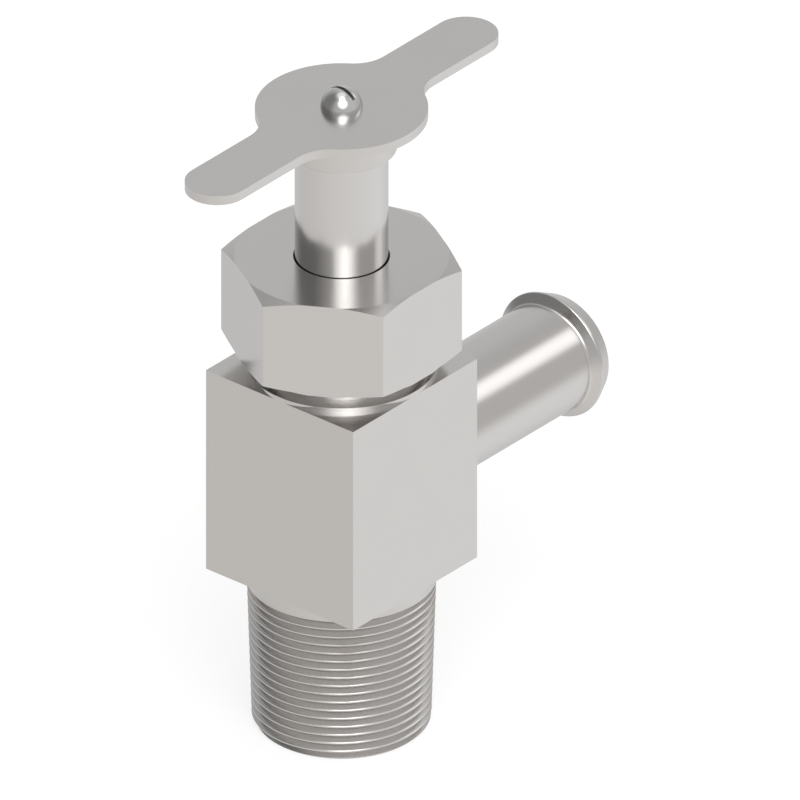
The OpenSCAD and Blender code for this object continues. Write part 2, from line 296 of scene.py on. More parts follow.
def distance_along(do, given, row, share):
    """How far along the sleeve a point of the grid lies."""
    half_crest, to_root = profile_ends(do, given)
    turn = do("FLOOR", do("DIVIDE", do("SUBTRACT", row, 1), ROWS_PER_TURN))
    corner = do("SUBTRACT", do("SUBTRACT", row, 1), do("MULTIPLY", turn, ROWS_PER_TURN))
    side = do("SUBTRACT", corner, MIDDLE_OF_ROWS)
    past_crest = do("GREATER_THAN", do("ABSOLUTE", side), 1)
    past_round = do("GREATER_THAN", do("ABSOLUTE", side), 2)
    to_flank = do("ADD", half_crest, given["Crest round"])
    offset = do("ADD", half_crest, do("MULTIPLY", past_crest, given["Crest round"]))
    offset = do("ADD", offset, do("MULTIPLY", past_round, do("SUBTRACT", to_root, to_flank)))
    offset = do("MULTIPLY", offset, do("SIGN", side))
    climb = do("MULTIPLY", given["Pitch"], do("ADD", do("SUBTRACT", turn, TURNS_BELOW), share))
    along = do("ADD", given["Lead"], do("ADD", climb, offset))
    return do("MAXIMUM", 0, do("MINIMUM", along, given["Length"]))


# %% [markdown]
# The radius follows from the place along the axis. The distance to the nearest crest says how far down
# the flank a point is, with half the slope on the rounding. A taper lets the crest radius grow, and a
# cone at the start breaks the first crests, as a real nipple has it to find its hole.

# %% Away from the axis
def distance_out(do, given, along, share):
    """Radius of a point of the thread's skin."""
    half_crest, to_root = profile_ends(do, given)
    phase = do("SUBTRACT", do("DIVIDE", do("SUBTRACT", along, given["Lead"]), given["Pitch"]), share)
    from_crest = do("MULTIPLY", do("ABSOLUTE", do("SUBTRACT", phase, do("ROUND", phase))), given["Pitch"])
    half_round = do("DIVIDE", given["Crest round"], 2)
    slope = do("DIVIDE", given["Depth"], do("SUBTRACT", to_root, do("ADD", half_crest, half_round)))
    past = do("SUBTRACT", from_crest, half_crest)
    on_round = do("MINIMUM", do("DIVIDE", past, 2), half_round)
    run = do("MAXIMUM", 0, do("MAXIMUM", on_round, do("SUBTRACT", past, half_round)))
    drop = do("MINIMUM", do("MULTIPLY", run, slope), given["Depth"])
    grown = do("ADD", given["Crest radius"], do("MULTIPLY", along, given["Growth"]))
    start_cone = do("ADD", do("SUBTRACT", given["Crest radius"], given["Chamfer"]), along)
    return do("MINIMUM", do("SUBTRACT", grown, drop), start_cone)


# %% [markdown]
# The first row and the last two are the bore. They close the thread into a sleeve, ready to be joined
# to a block. Then the flat grid is wrapped round the axis, its seam is merged, and the tree ends with
# the sleeve's finish.

# %% The whole thread tree
def build_thread_tree(tree):
    """Wraps a grid round the axis by the rule of a thread."""
    def do(operation, *values):
        return sums(tree, operation, *values)

    given = tree.nodes.new("NodeGroupInput").outputs
    thread_rows = do("MULTIPLY", given["Turns"], ROWS_PER_TURN)
    grid = tree.nodes.new("GeometryNodeMeshGrid")
    tree.links.new(do("ADD", given["Steps"], 1), grid.inputs["Vertices X"])
    tree.links.new(do("ADD", thread_rows, 3), grid.inputs["Vertices Y"])
    place = tree.nodes.new("ShaderNodeSeparateXYZ")
    tree.links.new(tree.nodes.new("GeometryNodeInputPosition").outputs[0], place.inputs[0])
    share = do("ADD", place.outputs["X"], 0.5)
    row = do("ROUND", do("MULTIPLY", do("ADD", place.outputs["Y"], 0.5), do("ADD", thread_rows, 2)))
    along = distance_along(do, given, row, share)
    size = distance_out(do, given, along, share)

    at_base = do("LESS_THAN", row, 0.5)
    at_top = do("GREATER_THAN", row, do("ADD", thread_rows, 0.5))
    at_last = do("GREATER_THAN", row, do("ADD", thread_rows, 1.5))
    in_bore = do("ADD", at_base, at_top)
    bore_along = do("MULTIPLY", do("SUBTRACT", at_top, at_last), given["Length"])
    size = do("ADD", size, do("MULTIPLY", in_bore, do("SUBTRACT", given["Bore radius"], size)))
    along = do("ADD", along, do("MULTIPLY", in_bore, do("SUBTRACT", bore_along, along)))

    angle = do("MULTIPLY", share, 2 * math.pi)
    wrapped = tree.nodes.new("ShaderNodeCombineXYZ")
    for socket, value in zip(wrapped.inputs, (do("MULTIPLY", size, do("COSINE", angle)),
                                              do("MULTIPLY", size, do("SINE", angle)),
                                              do("ADD", along, given["Start height"]))):
        tree.links.new(do("MULTIPLY", value, MM), socket)
    wrap = tree.nodes.new("GeometryNodeSetPosition")
    tree.links.new(grid.outputs["Mesh"], wrap.inputs["Geometry"])
    tree.links.new(wrapped.outputs[0], wrap.inputs["Position"])
    seam = tree.nodes.new("GeometryNodeMergeByDistance")
    seam.inputs["Distance"].default_value = SAME_PLACE * MM
    tree.links.new(wrap.outputs[0], seam.inputs["Geometry"])
    realized = tree.nodes.new("GeometryNodeRealizeInstances")
    tree.links.new(seam.outputs[0], realized.inputs[0])
    finish = tree.nodes.new("GeometryNodeSetMaterial")
    tree.links.new(realized.outputs[0], finish.inputs["Geometry"])
    tree.links.new(given["Finish"], finish.inputs["Material"])
    tree.links.new(finish.outputs[0], tree.nodes.new("NodeGroupOutput").inputs[0])


build_thread_tree(thread_tree)
print("thread tree:", len(thread_tree.nodes), "nodes")

# %% [markdown]
# Finishes
#
# Every metal here is the same idea: a Principled shader that is wholly metallic, whose roughness
# wanders a little, because a hand or a cloth never polishes evenly. A fine bump adds the marks of the
# tool. A picture of brushed metal could do this too, but noise needs no file and shows no seam. It
# reads Object coordinates, so the marks stay on the piece when it turns.

# %% Metal
PATCH_SCALE = 90
TONE_SPREAD = 0.015


def new_finish(name, colour, metallic, roughness):
    """A material with one shader, and its nodes and links to add to."""
    finish = bpy.data.materials.new(name)
    finish.use_nodes = True
    nodes, links = finish.node_tree.nodes, finish.node_tree.links
    shader = nodes["Principled BSDF"]
    shader.inputs["Base Color"].default_value = (*colour, 1)
    shader.inputs["Metallic"].default_value = metallic
    shader.inputs["Roughness"].default_value = roughness
    return finish, nodes, links, shader


def metal(name, colour, roughness, wander, grain_size, grain_depth, along=(1, 1, 1)):
    """Metal whose roughness wanders, with fine marks stretched by the scale along each axis."""
    finish, nodes, links, shader = new_finish(name, colour, 1, roughness)
    place = nodes.new("ShaderNodeTexCoord")
    stretch = nodes.new("ShaderNodeMapping")
    stretch.inputs["Scale"].default_value = along
    links.new(place.outputs["Object"], stretch.inputs["Vector"])

    patches = nodes.new("ShaderNodeTexNoise")
    patches.inputs["Scale"].default_value = PATCH_SCALE
    patches.inputs["Detail"].default_value = 4
    links.new(place.outputs["Object"], patches.inputs["Vector"])
    rough = nodes.new("ShaderNodeMapRange")
    rough.inputs["To Min"].default_value = roughness - wander
    rough.inputs["To Max"].default_value = roughness + wander
    links.new(patches.outputs["Fac"], rough.inputs["Value"])
    links.new(rough.outputs["Result"], shader.inputs["Roughness"])

    tone = nodes.new("ShaderNodeMix")
    tone.data_type = "RGBA"
    tone.inputs["A"].default_value = (*[c * (1 - TONE_SPREAD) for c in colour], 1)
    tone.inputs["B"].default_value = (*[c * (1 + TONE_SPREAD) for c in colour], 1)
    links.new(patches.outputs["Fac"], tone.inputs["Factor"])
    links.new(tone.outputs["Result"], shader.inputs["Base Color"])

    marks = nodes.new("ShaderNodeTexNoise")
    marks.inputs["Scale"].default_value = 1 / (grain_size * MM)
    marks.inputs["Detail"].default_value = 3
    links.new(stretch.outputs["Vector"], marks.inputs["Vector"])
    bump = nodes.new("ShaderNodeBump")
    bump.inputs["Strength"].default_value = 1
    bump.inputs["Distance"].default_value = grain_depth * MM
    links.new(marks.outputs["Fac"], bump.inputs["Height"])
    links.new(bump.outputs["Normal"], shader.inputs["Normal"])
    return finish


# Colour, roughness and its wander, then the size, depth and stretch of the tool's marks
STEEL = (0.600, 0.585, 0.572)
satin_steel = metal("satin_steel", STEEL, 0.2, 0.02, 0.9, 0.0006)
threaded_steel = metal("threaded_steel", STEEL, 0.22, 0.03, 0.5, 0.001)
turned_steel = metal("turned_steel", (0.61, 0.60, 0.59), 0.18, 0.02, 0.9, 0.0006, (0.2, 0.2, 2))
polished_steel = metal("polished_steel", (0.61, 0.605, 0.60), 0.15, 0.02, 0.9, 0.0004)
bronze = metal("bronze", (0.45, 0.25, 0.10), 0.3, 0.05, 0.6, 0.002, (0.3, 0.3, 2))
brass = metal("brass", (0.62, 0.44, 0.14), 0.25, 0.04, 0.6, 0.001, (0.3, 0.3, 2))
METALS = (satin_steel, threaded_steel, turned_steel, polished_steel, bronze, brass)
print("metals:", [finish.name for finish in METALS])

# %% [markdown]
# The soft pieces need no shine. The packing is pressed graphite rope, the seat disc is white plastic
# and the wiper is black rubber. Small cells of a Voronoi texture, darker in the middle, mottle and bump
# all three: coarse on the rope, fine on the plastic and the rubber.

# %% Soft finishes
CELL_SHADE = 0.8


def soft(name, colour, roughness, grain_size, grain_depth):
    """A matt plastic, rubber or fibre with a fine mottled surface."""
    finish, nodes, links, shader = new_finish(name, colour, 0, roughness)
    place = nodes.new("ShaderNodeTexCoord")
    grain = nodes.new("ShaderNodeTexVoronoi")
    grain.inputs["Scale"].default_value = 1 / (grain_size * MM)
    links.new(place.outputs["Object"], grain.inputs["Vector"])
    tone = nodes.new("ShaderNodeMix")
    tone.data_type = "RGBA"
    tone.inputs["A"].default_value = (*[c * CELL_SHADE for c in colour], 1)
    tone.inputs["B"].default_value = (*colour, 1)
    links.new(grain.outputs["Distance"], tone.inputs["Factor"])
    links.new(tone.outputs["Result"], shader.inputs["Base Color"])
    bump = nodes.new("ShaderNodeBump")
    bump.inputs["Distance"].default_value = grain_depth * MM
    links.new(grain.outputs["Distance"], bump.inputs["Height"])
    links.new(bump.outputs["Normal"], shader.inputs["Normal"])
    return finish


# Colour, roughness, then the size and depth of the cells
graphite = soft("graphite", (0.03, 0.03, 0.032), 0.45, 1.2, 0.1)
white_seal = soft("white_seal", (0.82, 0.82, 0.80), 0.4, 0.8, 0.02)
black_rubber = soft("black_rubber", (0.012, 0.012, 0.012), 0.55, 0.5, 0.02)
print("soft finishes:", [finish.name for finish in (graphite, white_seal, black_rubber)])

# %% [markdown]
# Thirteen nodes are plain rings, cups and a disc whose solids already have the right shape. They keep
# their solids and only get their finish.

# %% Finishes of the nodes that stay
FINISH_OF_NODE = {
    "seat_ring": turned_steel, "disc_holder": turned_steel, "packing_washer": turned_steel,
    "disc_washer": turned_steel, "swivel_clip": polished_steel, "disc_screw": polished_steel,
    "thread_bush": bronze, "gland_follower": brass, "seat_disc": white_seal,
    "stem_wiper": black_rubber, "packing_ring_upper": graphite, "packing_ring_middle": graphite,
    "packing_ring_lower": graphite,
}
for node, finish in FINISH_OF_NODE.items():
    slots = frame["nodes"][node].data.materials
    slots.clear()
    slots.append(finish)
print("nodes that keep their own solid:", len(FINISH_OF_NODE))

# %% [markdown]
# Finishing a piece
#
# A finished piece takes its material first. Then it gets smooth shading up to an angle, so that round
# faces look round and edges stay edges. The rounded crest of a thread turns through a wider angle, so
# a thread's faces, known by their own finish, are let run smooth further. A mirror shows every error
# of a normal, so the Weighted Normal modifier then lets the large faces decide: a flat stays flat
# right up to its broken edge, and the small faces of the edge bend the reflection. Last, the piece
# rides on its body, and the node that it replaces is hidden.

# %% Hand a piece over
SMOOTH_ANGLE = math.radians(21)
SMOOTH_THREAD_ANGLE = math.radians(35)
SPARE_TURNS = 4
NO_LENGTH = 0.0002
FLATS_FIRST = 100


def threaded(name, **sizes):
    """A threaded sleeve made by the thread tree, as a plain mesh."""
    sleeve = bpy.data.objects.new(name, bpy.data.meshes.new(name))
    bpy.context.scene.collection.objects.link(sleeve)
    step = sleeve.modifiers.new("thread", "NODES")
    step.node_group = thread_tree
    usual = {"Crest round": 0.06, "Chamfer": 0.0, "Growth": 0.0, "Steps": ROUND_STEPS,
             "Turns": math.ceil(sizes["Length"] / sizes["Pitch"]) + SPARE_TURNS,
             "Finish": threaded_steel}
    for label, value in {**usual, **sizes}.items():
        step[thread_socket[label]] = value
    settle(sleeve)
    shape = bmesh.new()
    shape.from_mesh(sleeve.data)
    bmesh.ops.dissolve_degenerate(shape, edges=shape.edges, dist=NO_LENGTH * MM)
    bmesh.ops.recalc_face_normals(shape, faces=shape.faces)
    shape.to_mesh(sleeve.data)
    shape.free()
    return sleeve


def shade(mesh):
    """Smooth faces, with sharp edges where they turn by more than the finish on both sides allows."""
    shape = bmesh.new()
    shape.from_mesh(mesh)
    on_thread = [found == threaded_steel for found in mesh.materials]
    for face in shape.faces:
        face.smooth = True
    for edge in shape.edges:
        both = all(on_thread[face.material_index] for face in edge.link_faces)
        edge.smooth = edge.calc_face_angle(0) < (SMOOTH_THREAD_ANGLE if both else SMOOTH_ANGLE)
    shape.to_mesh(mesh)
    shape.free()


def handed_over(piece, node, finish):
    """Shades a piece, gives it its finish and its body, and hides the node that it replaces."""
    mesh = piece.data
    if not mesh.materials:
        mesh.materials.append(finish)
    for i, found in enumerate(mesh.materials):
        mesh.materials[i] = found or finish
    shade(mesh)
    flat = piece.modifiers.new("flat_faces", "WEIGHTED_NORMAL")
    flat.weight = FLATS_FIRST
    flat.keep_sharp = True
    settle(piece)
    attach(piece, frame["nodes"][node]["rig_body"])
    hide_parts(node)
    checked(piece)


# %% [markdown]
# The body
#
# The real body is a length of square bar. The lathe turns a shoulder at its lower end, and a rim and a
# narrower collar at its upper end, which leaves the four corner triangles. The rim is as wide as the
# bar, so it meets each face in the middle. The same two steps make it here: a spun outline is cut by
# the square bar. Faces pulled out of a cube would do too, but then each curve where the round meets
# the flat has to be worked out by hand. The cut finds them.

# %% Body block
OVER = 2.0
thread_len = 37.84
shoulder_h, shoulder_inset = 2.92, 0.08
shoulder_r = half_side - shoulder_inset
z_block = thread_len + shoulder_h
block_to_nut = 5.26
z_block_top = z_nut - block_to_nut
rim_h, rim_over = 1.1, 0.04
rim_r = half_side + rim_over
z_rim = z_block_top + rim_h
neck_wall, neck_pitch, neck_relief = 3.6, 1.5, 1.2
bonnet_r = radius("thread_bush") + FIT_GAP
neck_r = bonnet_r + neck_wall
collar_r = neck_r - neck_relief
body_ease = 0.06

outside = [(0, thread_len), (shoulder_r, thread_len), (shoulder_r, z_block), (body_side, z_block),
           (body_side, z_block_top), (rim_r, z_block_top), (rim_r, z_rim), (collar_r, z_rim),
           (collar_r, z_nut), (0, z_nut)]
square_bar = eased([(half_side, half_side), (-half_side, half_side),
                    (-half_side, -half_side), (half_side, -half_side)])
valve_body = turned("body", eased(outside, body_ease))
worked(valve_body, prism("bar", square_bar, thread_len - OVER, z_nut + OVER), "INTERSECT")
checked(valve_body)

# %% [markdown]
# The nipple and the neck are two sleeves of the thread tree. Each is let a little way into the block,
# so that the union has one skin. A taper of one in sixteen on the diameter is one in thirty-two on the
# radius.

# %% Nipple and neck
JOIN = 0.6
thread_pitch = 2.209
taper = 1 / 32
z_neck_top = high("valve_body").z
rough_bore = 5.0

nipple = threaded("nipple", **{
    "Crest radius": 20.7, "Bore radius": rough_bore, "Start height": 0.0,
    "Length": thread_len + JOIN, "Pitch": thread_pitch, "Depth": 1.6, "Crest width": 0.32,
    "Crest round": 0.14, "Root width": 0.08, "Chamfer": 1.0, "Lead": 1.069, "Growth": taper})
checked(nipple)
neck = threaded("neck", **{
    "Crest radius": neck_r, "Bore radius": rough_bore, "Start height": z_nut - neck_pitch,
    "Length": z_neck_top - z_nut + neck_pitch, "Pitch": neck_pitch, "Depth": 0.9,
    "Crest width": 0.2, "Root width": 0.2, "Lead": 0.75})
checked(neck)
worked(valve_body, nipple, "UNION")
worked(valve_body, neck, "UNION")

# %% [markdown]
# Every bore is drilled last, as on the real block: one stepped cutter runs up through the inlet, the
# seat, the chamber and the neck, and one comes in from the side for the port and the tube's socket.

# %% Bores
inlet_r, inlet_chamfer = 12.0, 0.5
seat_r = radius("seat_ring") + FIT_GAP
chamber_floor, chamber_room = 52.0, 0.8
chamber_r = radius("disc_holder") + chamber_room

bores = [(0, -OVER), (inlet_r + inlet_chamfer + OVER, -OVER), (inlet_r, inlet_chamfer),
         (inlet_r, low("seat_ring").z), (seat_r, low("seat_ring").z), (seat_r, chamber_floor),
         (chamber_r, chamber_floor), (chamber_r, low("thread_bush").z),
         (bonnet_r, low("thread_bush").z), (bonnet_r, z_neck_top + OVER), (0, z_neck_top + OVER)]
worked(valve_body, turned("drill", bores), "DIFFERENCE")
tube_r = 13.24
port_r, socket_r = 10.0, tube_r + FIT_GAP
port = [(0, 0), (port_r, 0), (port_r, tube_start), (socket_r, tube_start),
        (socket_r, half_side + OVER), (0, half_side + OVER)]
worked(valve_body, turned("side_drill", port, axis="X", height=z_outlet), "DIFFERENCE")
handed_over(valve_body, "valve_body", satin_steel)

# %% [markdown]
# The outlet tube
#
# A hose is pushed over the barb and clamped behind it. The barb is turned on the tube's own wall, so
# tube and barb are one spun outline, laid along the X axis. The cutter's nose leaves a fillet at the
# barb's foot, and its crest is stoned smooth, so this outline is eased more than the others.

# %% Outlet tube
barb_r = (high("outlet_tube").z - low("outlet_tube").z) / 2
tube_bore_r = 10.44
barb_flank, barb_flat, barb_taper = 1.4, 0.52, 4.6
barb_ease = 0.6
crest = tube_end - barb_taper - barb_flat
tube_outline = [(tube_bore_r, tube_start), (tube_r, tube_start), (tube_r, crest - barb_flank),
                (barb_r, crest), (barb_r, crest + barb_flat), (tube_r, tube_end),
                (tube_bore_r, tube_end)]
outlet_tube = turned("tube", eased(tube_outline, barb_ease), axis="X", height=z_outlet)
handed_over(outlet_tube, "outlet_tube", satin_steel)

# %% [markdown]
# The packing nut
#
# A hexagonal nut is a slice of hexagonal bar whose ends are bevelled on the lathe. Where the cone of
# the bevel meets the flats it leaves the arched edges that every nut has. A spun ring with bevelled
# ends, cut by a hexagonal bar, gives the same arches.

# %% Packing nut
nut_corner_r = high("packing_nut").x
nut_flat_r = high("packing_nut").y
face_margin = 0.36
nut_face_r = nut_flat_r + face_margin
nut_drop = 1.4
washer_face = 0.3
stem_r = 10.82
nut_hole_r = stem_r + RUN_GAP
nut_thread_r = neck_r + FIT_GAP
z_ceiling = high("gland_follower").z
wiper_r = radius("stem_wiper") + FIT_GAP
reach = 2 * (nut_corner_r - nut_face_r)
nut_outline = [
    (nut_thread_r, z_nut), (nut_face_r, z_nut), (nut_face_r, z_nut + washer_face),
    (nut_face_r + reach, z_nut + washer_face + 2 * (nut_drop - washer_face)),
    (nut_face_r + reach, z_nut_top - 2 * nut_drop), (nut_face_r, z_nut_top),
    (nut_hole_r, z_nut_top), (nut_hole_r, high("stem_wiper").z), (wiper_r, high("stem_wiper").z),
    (wiper_r, low("stem_wiper").z), (nut_hole_r, low("stem_wiper").z), (nut_hole_r, z_ceiling),
    (nut_thread_r, z_ceiling)]
hexagon = eased([(nut_corner_r * math.cos(math.radians(60 * i)),
                  nut_corner_r * math.sin(math.radians(60 * i))) for i in range(6)])
packing_nut = turned("nut", eased(nut_outline))
worked(packing_nut, prism("hex_bar", hexagon, z_nut - OVER, z_nut_top + OVER), "INTERSECT")
handed_over(packing_nut, "packing_nut", satin_steel)

# %% [markdown]
# The spindle
#
# The stem, its thread, the waist and the button are turned from one bar, and the square end that
# drives the handle is milled on it. A cylinder for each step would do, but one outline keeps all the
# shoulders in one list and leaves no faces hidden inside. The thread is the third sleeve of the
# thread tree, with other sizes.

# %% Spindle
waist_r, button_r = 6.0, 8.0
button_h = 2.6
spindle_low, spindle_high = low("spindle").z, high("spindle").z
thread_gap = 1.6
z_thread, z_thread_top = high("disc_holder").z + thread_gap, low("packing_washer").z - RUN_GAP
screw_r = 3.0
screw_hole_r = screw_r + FIT_GAP
screw_tip = low("handle_screw").z
tang = 7.0
spindle_outline = [
    (0, spindle_low), (button_r, spindle_low), (button_r, spindle_low + button_h),
    (waist_r, spindle_low + button_h), (waist_r, z_thread + JOIN), (stem_r, z_thread + JOIN),
    (stem_r, z_hub), (0, z_hub)]
spindle = turned("stem", eased(spindle_outline))
worked(spindle, threaded("stem_thread", **{
    "Crest radius": radius("spindle"), "Bore radius": waist_r - 2 * JOIN, "Start height": z_thread,
    "Length": z_thread_top - z_thread, "Pitch": 3.0, "Depth": 1.8, "Crest width": 0.42,
    "Root width": 0.4, "Lead": 1.5}), "UNION")
worked(spindle, prism("tang", eased([(tang, tang), (-tang, tang), (-tang, -tang), (tang, -tang)]),
                      z_hub - JOIN, spindle_high), "UNION")
worked(spindle, turned("tap_drill", [(0, screw_tip - OVER), (screw_hole_r, screw_tip - OVER),
                                     (screw_hole_r, spindle_high + OVER), (0, spindle_high + OVER)]),
       "DIFFERENCE")
handed_over(spindle, "spindle", turned_steel)

# %% [markdown]
# The handle
#
# The handle is a flat plate on a round hub, held down by a slotted screw. The hub has a square hole
# that fits the spindle's square end, so that the handle can't slip. The real hole is broached, and
# here a square cutter does the same.

# %% Handle hub
hub_outline = [(0, z_hub), (radius("handle_hub"), z_hub), (radius("handle_hub"), z_plate), (0, z_plate)]
handle_hub = turned("hub", eased(hub_outline))
hole = tang + FIT_GAP
worked(handle_hub, prism("broach", [(hole, hole), (-hole, hole), (-hole, -hole), (hole, -hole)],
                         z_hub - OVER, z_plate + OVER), "DIFFERENCE")
handed_over(handle_hub, "handle_hub", satin_steel)

# %% [markdown]
# The plate has a round middle and two arms, cut from sheet. Its outline is made of arcs and the
# straight lines between them: one quarter is worked out, and the rest is that quarter mirrored. An
# eased outline would only round it as seen from above, so here a Bevel breaks the edges, limited to
# angles that only the rims have.

# %% Handle plate
plate_r = high("handle_plate").y
span = high("handle_plate").x
arm_half, arm_fillet = 7.5, 9.0
fillet_y = arm_half + arm_fillet
fillet_x = math.sqrt((plate_r + arm_fillet) ** 2 - fillet_y ** 2)
fillet_angle = math.degrees(math.atan2(fillet_y, fillet_x))
fine_steps = 24
quarter = [*arc((0, 0), plate_r, 90, fillet_angle, fine_steps)[:-1],
           *arc((fillet_x, fillet_y), arm_fillet, 180 + fillet_angle, 270),
           *arc((span - arm_half, 0), arm_half, 90, 0, fine_steps)]
right = quarter + [(x, -y) for x, y in reversed(quarter)][1:]
plate_outline = right[:-1] + [(-x, -y) for x, y in right[:-1]]
handle_plate = prism("plate", plate_outline, z_plate, z_plate_top)
worked(handle_plate, turned("plate_drill", [(0, z_plate - OVER), (screw_hole_r, z_plate - OVER),
                                            (screw_hole_r, z_plate_top + OVER), (0, z_plate_top + OVER)]),
       "DIFFERENCE")
edge = handle_plate.modifiers.new("broken_edge", "BEVEL")
edge.width = EASE * MM
edge.segments = 5
edge.limit_method = "ANGLE"
edge.angle_limit = math.radians(60)
settle(handle_plate)
handed_over(handle_plate, "handle_plate", satin_steel)

# %% [markdown]
# The screw's head is half a ball with a slot across it, and it is polished, so it mirrors the whole
# studio. The arc of the dome has many steps for that reason. The slot is cut by a thin bar, and the
# threaded shank is the fourth sleeve of the thread tree, with a bore radius of zero.

# %% Handle screw
dome_r = radius("handle_screw")
dome_steps = 32
slot_half, slot_depth = 0.5, 1.8
z_dome_top = z_plate_top + dome_r
dome = [(0, z_plate_top), *arc((0, z_plate_top), dome_r, 0, 90, dome_steps)]
handle_screw = turned("screw", dome)
worked(handle_screw, prism("slot", [(slot_half, 2 * dome_r), (-slot_half, 2 * dome_r),
                                    (-slot_half, -2 * dome_r), (slot_half, -2 * dome_r)],
                           z_dome_top - slot_depth, z_dome_top + OVER), "DIFFERENCE")
worked(handle_screw, threaded("screw_thread", **{
    "Crest radius": screw_r, "Bore radius": 0.0, "Start height": screw_tip,
    "Length": z_plate_top - screw_tip + JOIN, "Pitch": 1.0, "Depth": 0.6, "Crest width": 0.14,
    "Root width": 0.1, "Lead": 0.5, "Steps": 64}), "UNION")
handed_over(handle_screw, "handle_screw", polished_steel)

# %% [markdown]
# The studio
#
# Metal shows what is round it, so the studio is built as a picture of a room. Below the horizon lies
# the pale table, darker behind the valve. Above it stand pale screens with a dark gap at the left,
# which gives round metal its dark stripe. Soft lamps hang in that room: one overhead, a tall one in
# front with a wide halo, and a pair to the right. Area lamps would show their edges in the flat faces.
# So one node group holds all this as a rule of direction for the world, and every flat face mirrors an
# even light, however high it sits.

# %% Directions in the studio
CAMERA_AZIMUTH, CAMERA_ELEVATION = -49.86, 30.0
turn_angle = math.radians(CAMERA_AZIMUTH)
tilt = math.radians(CAMERA_ELEVATION)
to_right = Vector((math.cos(turn_angle), math.sin(turn_angle), 0))
to_camera = Vector((math.sin(turn_angle), -math.cos(turn_angle), 0))
print("towards the camera:", [round(share, 3) for share in to_camera])


def along_direction(tree, direction, axis):
    """How far a direction points along an axis, from -1 to 1."""
    node = tree.nodes.new("ShaderNodeVectorMath")
    node.operation = "DOT_PRODUCT"
    tree.links.new(direction, node.inputs[0])
    node.inputs[1].default_value = axis
    return node.outputs["Value"]


def spread_over(tree, value, start, end, low_value, high_value):
    """A smooth step from one value to another."""
    node = tree.nodes.new("ShaderNodeMapRange")
    node.interpolation_type = "SMOOTHSTEP"
    tree.links.new(value, node.inputs["Value"])
    ends = {"From Min": start, "From Max": end, "To Min": low_value, "To Max": high_value}
    for label, number in ends.items():
        node.inputs[label].default_value = number
    return node.outputs["Result"]


def lamp_axis(from_camera, elevation):
    """Direction of a lamp: degrees to the right of the camera, and above the horizon."""
    a, e = math.radians(from_camera), math.radians(elevation)
    flat = math.cos(a) * to_camera + math.sin(a) * to_right
    return math.cos(e) * flat + Vector((0, 0, math.sin(e)))


# %% [markdown]
# The room is written as two short lists, one for the table and one for the screens. Each entry gives
# degrees to the right of the camera, a brightness and a warmth. Each lamp has its degrees to the right
# of the camera, its elevation, the radius of its bright core and of its soft edge in degrees, and its
# strength.

# %% Levels and lamps
TABLE_LEVELS = ((-180, 0.62, 0), (-140, 0.77, 0), (-112, 0.79, 0), (-80, 0.82, 0.025), (-20, 0.915, 0.02),
                (0, 0.94, 0.02), (40, 0.98, 0.01), (100, 1.04, 0), (120, 0.98, 0), (180, 0.62, 0))
SCREEN_LEVELS = ((-180, 0.73, 0), (-160, 0.66, 0), (-142, 0.50, 0), (-118, 0.27, 0), (-68, 0.27, 0),
                 (-48, 0.46, 0), (-35, 0.60, 0), (0, 0.64, 0), (45, 0.72, 0), (75, 0.74, 0.005),
                 (92, 0.66, 0.015), (131, 0.62, 0.015), (150, 0.63, 0), (180, 0.73, 0))
CEILING = (0.6, 0.6, 0.6, 1)
HORIZON_HEIGHTS = (-0.47, -0.10)
CEILING_HEIGHTS = (0.80, 0.97)
LAMPS = ((180, 86, 12, 25, 0.6), (8.5, 43, 6, 12, 3.0), (8.5, 43, 8, 31, 2.1), (8.5, 70, 8, 17, 3.0),
         (105, 36, 2, 17, 1.1), (124, 29, 5, 16, 0.4))
print("levels and lamps:", len(TABLE_LEVELS), len(SCREEN_LEVELS), len(LAMPS))

# %% [markdown]
# A colour ramp turns the degrees round the horizon into a level, once for the table and once for the
# screens. The height of the direction fades from the one to the other, and on to the ceiling. A lamp
# is a soft disc round its axis, so the cosine of the angle to that axis is all that it needs.

# %% The rule of the studio's light
def levels_round(tree, around, levels):
    """Light that changes along the horizon, from a short list of levels."""
    ramp = tree.nodes.new("ShaderNodeValToRGB")
    tree.links.new(around, ramp.inputs["Fac"])
    stops = ramp.color_ramp.elements
    for _ in levels[2:]:
        stops.new(1.0)
    for stop, (degrees, level, warmth) in zip(stops, levels):
        stop.position = degrees / 360 + 0.5
        stop.color = (level * (1 + warmth), level, level * (1 - warmth), 1)
    return ramp.outputs["Color"]


def mixed(tree, share, first, second):
    """One light faded into another."""
    node = tree.nodes.new("ShaderNodeMix")
    node.data_type = "RGBA"
    tree.links.new(share, node.inputs["Factor"])
    for socket, light in ((node.inputs["A"], first), (node.inputs["B"], second)):
        if isinstance(light, tuple):
            socket.default_value = light
        else:
            tree.links.new(light, socket)
    return node.outputs["Result"]


